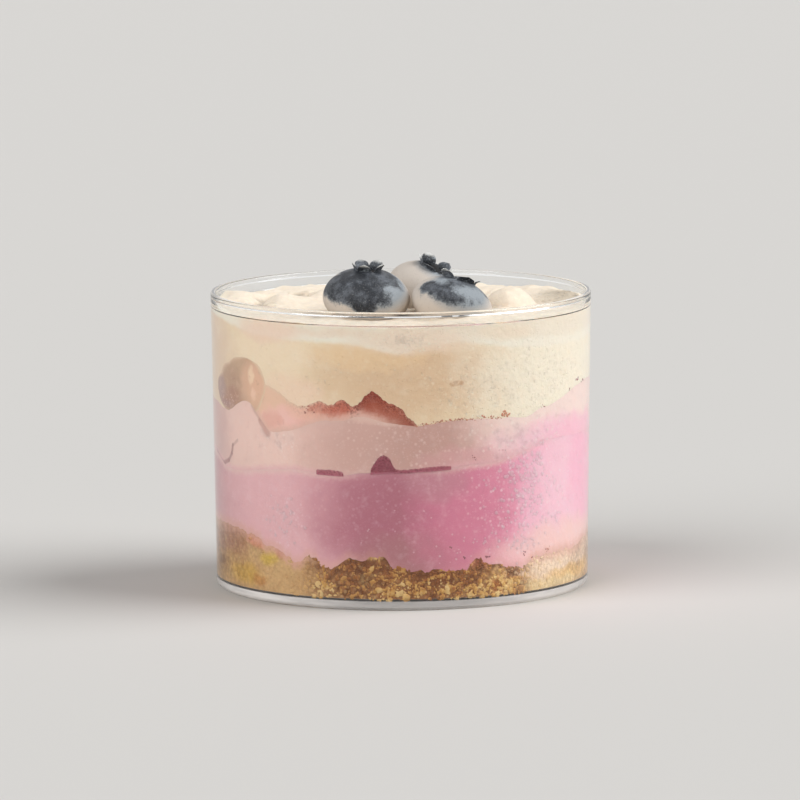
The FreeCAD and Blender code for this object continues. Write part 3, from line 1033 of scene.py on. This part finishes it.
def creamLook():
    look = Look("whipped_cream")
    place = look.place()
    film = look.mark("film") + (look.noise(place, 3.5, 3) - 0.5) * 0.9
    colour = look.coats(
        look.paint(cream["plain"], look.spot(), cream["patches"]),
        (film.step(-0.5, 0.7), cream["above"]),
        (film.step(-0.7, 0.4) * film.step(2.4, 0.8) * 0.8, cream["film"]))
    cloud = look.noise(place, 3, 4, 0.55)
    worn = look.noise(place, 1.1, 5, 0.7)
    rough = look.mark("rough")
    tops = look.blend(worn.step(0.4, 0.65), cream["skin"], cream["above"])
    smear = look.stroke(look.spot(0.3), *cream["smearAt"]) * worn.step(0.35, 0.6)
    colour = look.coats(
        look.paint(colour, look.spot(0.4), cream["patchesAbove"]),
        (cloud.step(0.5, 0.75) * 0.2, cream["light"]),
        (cloud.step(0.45, 0.25) * 0.2, cream["deep"]),
        # painted highlights: light dots of damp, and bubble domes lightened where they would catch the
        # light
        (look.dewHighlights(place, look.spot(0.6), cream["dewHighlights"]), cream["light"]),
        (look.mark("bubble") * 0.25, cream["light"]),
        (look.mark("top"), tops),
        # painted shade: the rough patch greyed, its pits and the creases darkened
        ((rough + (worn - 0.5) * 0.9).step(0.1, 1) * 0.85, cream["roughShade"]),
        (rough * worn.step(0.52, 0.66) * 0.6, cream["gap"]),
        ((look.mark("hollow") + (worn - 0.5) * 0.5).step(0.25, 0.9) * 0.6, cream["gap"]),
        (smear * 0.6, cream["smear"]))
    pits = look.cells(place, 0.7)["Distance"].step(0.22, 0.05)
    relief = look.noise(place, 1.2, 4) + look.noise(place, 0.4, 2) * (0.2 + rough) - pits * 0.5
    return look.food(colour, 0.55, 0.25, relief, 0.16, (1, 0.8, 0.6))


def makeCream():
    broad = waves(61, 7)
    fine = waves(62, 2.6)
    grit = waves(63, 0.9, 40)

    def placeAt(degrees, share):
        return out(math.radians(degrees), innerRadius(creamLevel) * share)

    def roughHere(x, y):
        px, py = placeAt(*cream["roughAt"])
        return np.exp(-((x - px) ** 2 / 40 + (y - py) ** 2 / 90))

    def creased(x, y):
        # how far into each crease a place lies, 0 to 1, with its depth
        wobble = 0.7 * fine(x, y)
        found = []
        for startX, startY, endX, endY, depth, width in cream["creases"]:
            dx, dy = endX - startX, endY - startY
            along = np.clip(((x - startX) * dx + (y - startY) * dy) / (dx * dx + dy * dy), 0, 1)
            away = np.hypot(x - startX - along * dx + wobble, y - startY - along * dy + wobble)
            found.append((np.exp(-(away / width) ** 2), depth))
        return found

    def top(x, y):
        z = creamLevel + 0.22 * broad(x, y) + 0.1 * fine(x, y)
        for bearing, share, rise, spread in cream["swells"]:
            px, py = placeAt(bearing, share)
            z = z + rise * np.exp(-((x - px) ** 2 + (y - py) ** 2) / (2 * spread ** 2))
        bearing, share, rise, spread = cream["dollop"]
        px, py = placeAt(bearing, share)
        away = ((x - px) ** 2 + (y - py) ** 2) / spread ** 2
        z = z + rise * np.clip(1 - away, 0, 1) ** 0.75
        z = z - np.max([share * depth for share, depth in creased(x, y)], axis=0)
        return z + 0.2 * roughHere(x, y) * grit(x, y)

    def marks(x, y, z):
        onWall = np.hypot(x, y) > innerRadius(z) - 1
        onTop = (z > creamLevel - 4) & ~onWall
        # how far into a crease a place on top lies, for painted shade there
        hollow = np.max([share * min(depth, 1) for share, depth in creased(x, y)], axis=0)
        return {"film": np.where(onWall, z - filmLine(np.arctan2(x, -y)), 6),
                "rough": roughHere(x, y) * onTop, "hollow": hollow * onTop, "top": onTop * 0.85}

    layerPiece("cream_layer", "whipped_cream", "cream", creamLook(), paleTop, top, seed=34, sharp=60,
               bubbles=cream["bubbles"], marks=marks, rows=40, rings=60, count=720)


makeCream()
print("cream done")


# ---- blueberries ----
# dark and pale are patches of bare skin and of thicker bloom: (direction, degrees, strength)
berries = {
    "left": {
        "place": (-6.8, -17.9), "width": 17.1, "height": 11.7, "sunk": 2.5, "crown": 2.6,
        "lean": 7, "hinge": 20, "turn": 10, "cool": ((0.2, -0.6, 0.75), 62),
        "dark": [((-0.55, -0.66, 0.50), 33, 1.0), ((-0.10, -0.86, 0.48), 37, 1.0),
                 ((-0.05, -0.99, 0.06), 21, 1), ((0.3, -0.55, 0.78), 34, 1),
                 ((0.66, -0.4, 0.63), 26, 0.9), ((0.4, -0.9, 0.16), 16, 0.75),
                 ((0, 0.1, 1), 48, 1), ((-0.85, -0.25, 0.4), 20, 0.9)],
        "pale": [((-0.56, -0.77, 0.29), 8, 0.35), ((0.56, -0.77, 0.30), 10, 0.5),
                 ((0.88, -0.3, 0.38), 13, 0.5)],
    },
    "right": {
        "place": (10.15, -18.6), "width": 16.5, "height": 10.8, "sunk": 3.6, "crown": 3.3,
        "lean": 19, "hinge": 116, "turn": 40, "cool": ((0.3, -0.6, 0.74), 52),
        "dark": [((-0.58, -0.58, 0.57), 14, 0.95), ((-0.40, -0.74, 0.53), 15, 0.95),
                 ((-0.2, -0.87, 0.44), 15, 0.95), ((0, -0.94, 0.33), 13, 0.9),
                 ((0.2, -0.94, 0.25), 10, 0.8), ((0.42, -0.87, 0.24), 9, 0.6),
                 ((0.62, -0.74, 0.24), 9, 0.5), ((0.9, -0.1, 0.4), 22, 0.5),
                 ((0.2, -0.55, 0.81), 40, 0.7), ((-0.1, 0.6, 0.8), 40, 0.8)],
        "pale": [((-0.30, -0.55, 0.78), 10, 0.5), ((0.44, -0.77, 0.46), 12, 0.8),
                 ((0.15, -0.87, 0.48), 7, 0.6), ((0.74, -0.56, 0.38), 10, 0.7)],
    },
    "back": {
        "place": (4.6, -2.2), "width": 15.0, "height": 11.8, "sunk": 3.3, "crown": 2.8,
        "lean": 24, "hinge": 62, "turn": 0, "cool": ((0.5, -0.2, 0.9), 40),
        "dark": [((0.30, -0.10, 0.95), 28, 0.7), ((-0.2, 0.8, 0.5), 44, 0.8)],
        "pale": [((-0.3, -0.68, 0.66), 20, 0.5)],
    },
}
berry = {
    "skin": (34, 37, 43),
    "dusky": (112, 117, 125),
    "mist": (150, 157, 163),
    # the pale bloom, warmed by a painted reflection of the cream below
    "frostAndCreamBounce": (206, 196, 186),
    "sparkle": (224, 224, 220),
    "inside": (36, 30, 28),
    "crownHeight": 1.6,
    "flare": 0.8,
    "crater": 1.3,
    # share of the crown's radius, share of the crater's depth
    "craterShape": [(0.93, 0.12), (0.84, 0.45), (0.74, 0.8), (0.6, 1), (0.4, 1.06), (0.2, 1.05), (0, 1)],
    "rows": 72,
    "around": 120,
    "sepals": 5,
    "sepalThick": 0.5,
}


def berryLook():
    look = Look("blueberry")
    place = look.place()
    patches = look.noise(place, 1.5, 8, 0.72)
    grit = look.noise(place, 0.28, 3, 0.7)
    bloom = look.mark("bloom") + (patches - 0.5) * 1.3 + (grit - 0.5) * 0.6
    haze = look.noise(place, 2.6, 6, 0.65, seed=3) + (grit - 0.5) * 0.35
    skin = look.blend(haze.step(0.4, 0.72) * 0.85, berry["skin"], berry["dusky"])
    # the bloom carries the warm tint of the painted cream reflection, turning to cool mist where the cool
    # mark is set
    frostAndCreamBounce = look.blend(look.mark("cool"), berry["frostAndCreamBounce"], berry["mist"])
    fleck = look.noise(place, 0.2, 2, seed=6)
    rimeAndGlint = look.mark("rimeAndGlint") + (grit - 0.5) * 0.6
    colour = look.coats(
        skin,
        (bloom.step(0.2, 0.6) * 0.5, berry["mist"]),
        (bloom.step(0.4, 0.75), frostAndCreamBounce),
        (fleck.step(0.6, 0.7) * 0.2, berry["sparkle"]),
        (fleck.step(0.42, 0.3) * bloom.step(1.15, 0.6) * 0.7, berry["skin"]),
        # sepal tips lightened towards their ends: partly pale rime, partly painted glints
        (rimeAndGlint.step(0.35, 0.85) * 0.85, berry["sparkle"]),
        (look.mark("inside"), berry["inside"]))
    return look.food(colour, 0.5 + bloom * 0.3, 0.3, bloom * 0.4 + grit * 0.6, 0.08)


def sepal(spec, brim, order, pick):
    # one thick rounded lobe of the crown, as its own small closed shell
    side = 9
    middle = full * (order + pick.uniform(0.35, 0.65)) / berry["sepals"]
    half = math.pi / berry["sepals"] * pick.uniform(0.8, 1)
    tall = berry["crownHeight"] * pick.uniform(0.7, 1.15)
    flare = berry["flare"] * pick.uniform(0.5, 1.4)
    up, across = np.meshgrid(np.linspace(0, 1, side), np.linspace(-1, 1, side), indexing="ij")
    turn = middle + across * (half * np.sqrt(1 - up ** 2.6) + 0.02)
    cupped = 0.25 * (1 - across ** 2) * np.sin(math.pi * up)
    z = brim - 0.4 + (tall * (1 - 0.12 * across ** 2) + 0.4) * up
    thick = berry["sepalThick"] * (1 - 0.8 * np.maximum(abs(across), up) ** 4)
    outside = spec["crown"] + flare * up ** 1.3 - cupped
    points = []
    for r in (outside, outside - thick):
        points.append(np.stack([r * np.cos(turn), r * np.sin(turn), z], 2).reshape(-1, 3))
    grid = np.arange(side * side).reshape(side, side)
    quads = np.stack([grid[:-1, :-1], grid[:-1, 1:], grid[1:, 1:], grid[1:, :-1]], 2).reshape(-1, 4)
    rim = [*grid[:, 0], *grid[-1, 1:], *grid[-2::-1, -1], *grid[0, -2:0:-1]]
    strip = [(a, b, b + side * side, a + side * side) for a, b in zip(rim, rim[1:] + rim[:1])]
    return np.concatenate(points), [*quads, *(quads[:, [0, 3, 2, 1]] + side * side), *strip]


def makeBerry(name, spec, look):
    rows, rounds = berry["rows"], berry["around"]
    half = spec["height"] / 2
    seed = sum(map(ord, name))
    pick = np.random.default_rng(seed)
    angle = np.linspace(-math.pi / 2, math.acos(2 * spec["crown"] / spec["width"]), rows + 1)
    profile = list(zip(spec["width"] / 2 * np.cos(angle), half * np.sin(angle)))
    brim = profile[-1][1]
    for share, drop in berry["craterShape"]:
        profile.append((spec["crown"] * share, brim - berry["crater"] * drop))
    points, faces = turnedMesh(profile, rounds)
    points *= (1 + 0.015 * waves(seed, 9)(*points.T))[:, None]
    body = len(points)
    for order in range(berry["sepals"]):
        more, lobe = sepal(spec, brim, order, pick)
        faces += (np.array(lobe) + len(points)).tolist()
        points = np.concatenate([points, more])
    inside = np.zeros(len(points))
    inside[rows * rounds:body - 2] = 0.8
    inside[body - 1] = 1
    # rises to the sepal tips: pale rime with painted glints
    rimeAndGlint = np.clip((points[:, 2] - brim) / berry["crownHeight"], 0, 1) ** 2
    rimeAndGlint[:body] = 0
    hinge = math.radians(spec["hinge"])
    turn = Matrix.Rotation(math.radians(spec["lean"]), 3, (math.cos(hinge), math.sin(hinge), 0)) \
        @ Matrix.Rotation(math.radians(spec["turn"]), 3, "Z")
    points = points @ np.array(turn).T
    way = points / np.linalg.norm(points, axis=1)[:, None]

    def cover(direction, degrees, fade):
        # 1 round a direction, fading at that many degrees from it
        aim = np.array(direction) / np.linalg.norm(direction)
        away = np.degrees(np.arccos(np.clip(way @ aim, -1, 1)))
        return np.clip((degrees - away) / fade + 0.5, 0, 1)

    bare = np.zeros(len(points))
    for direction, degrees, strength in spec["dark"]:
        bare = np.maximum(bare, cover(direction, degrees, 16) * strength)
    for direction, degrees, strength in spec["pale"]:
        bare = bare * (1 - cover(direction, degrees, 16) * strength)
    bloom = 1 - bare
    bloom[body:] = pick.uniform(0, 0.5, len(points) - body)
    cool = cover(*spec["cool"], 20)
    points += (*spec["place"], creamLevel + half - spec["sunk"])
    putDown("berry_" + name, points, faces, look, "blueberry_" + name,
            sharp=70, marks={"bloom": bloom, "inside": inside, "cool": cool, "rimeAndGlint": rimeAndGlint})


skinLook = berryLook()
for name, spec in berries.items():
    makeBerry(name, spec, skinLook)
print("berries done")


# ---- floor, light and camera ----
stage = {
    "floor": (208, 206, 203),
    "fill": 0.12,
    "backdrop": 0.9,  # what the plastic shows and mirrors
    # name, degrees round from the front, degrees up, strength, how wide in degrees
    "lamps": [
        ("right_light", 87, 38, 2.85, 50),
        ("left_light", -49, 38, 1.9, 50),
    ],
}


def makeStage():
    bpy.ops.mesh.primitive_plane_add(size=60)
    floor = bpy.context.object
    floor.name = "floor"
    look = Look("floor_paper")
    floor.data.materials.append(look.finish(look.surface(stage["floor"], 0.8, Specular_IOR_Level=0.2)))
    sky = Look("studio", bpy.data.worlds.new("studio"))
    path = sky.add("ShaderNodeLightPath")
    seen = path["Is Camera Ray"].most(path["Is Glossy Ray"]).most(path["Is Transmission Ray"])
    strength = seen * (stage["backdrop"] - stage["fill"]) + stage["fill"]
    sockets = {"Color": (255, 255, 255), "Strength": strength}
    back = sky.add("ShaderNodeBackground", None, sockets)["Background"]
    sky.add("ShaderNodeOutputWorld", None, {"Surface": back})
    bpy.context.scene.world = sky.owner
    for name, azimuth, high, power, wide in stage["lamps"]:
        light = bpy.data.lights.new(name, "SUN")
        light.energy = power
        light.angle = math.radians(wide)
        lamp = bpy.data.objects.new(name, light)
        bpy.context.scene.collection.objects.link(lamp)
        flat = math.cos(math.radians(high))
        x, y = out(math.radians(azimuth), flat)
        source = Vector((x, y, math.sin(math.radians(high))))
        lamp.rotation_euler = source.to_track_quat("Z", "Y").to_euler()


camera = {
    "distance": 1.45, "elevation": 7.9, "roll": -0.34, "lens": 325.9,
    "target": (0, 0, 30 * mm), "aim": (-0.26 * mm, 0, 36.8 * mm),
}


def makeCamera():
    data = bpy.data.cameras.new("camera")
    data.sensor_width = 36
    data.lens = camera["lens"]
    data.clip_end = 80
    thing = bpy.data.objects.new("camera", data)
    bpy.context.scene.collection.objects.link(thing)
    up = math.radians(camera["elevation"])
    place = Vector(camera["target"]) + camera["distance"] * Vector((0, -math.cos(up), math.sin(up)))
    turn = (Vector(camera["aim"]) - place).to_track_quat("-Z", "Y").to_matrix().to_4x4()
    roll = Matrix.Rotation(math.radians(camera["roll"]), 4, "Z")
    thing.matrix_world = Matrix.Translation(place) @ turn @ roll
    bpy.context.scene.camera = thing


makeStage()
makeCamera()
bpy.context.scene.view_settings.view_transform = "Standard"
print("stage done")
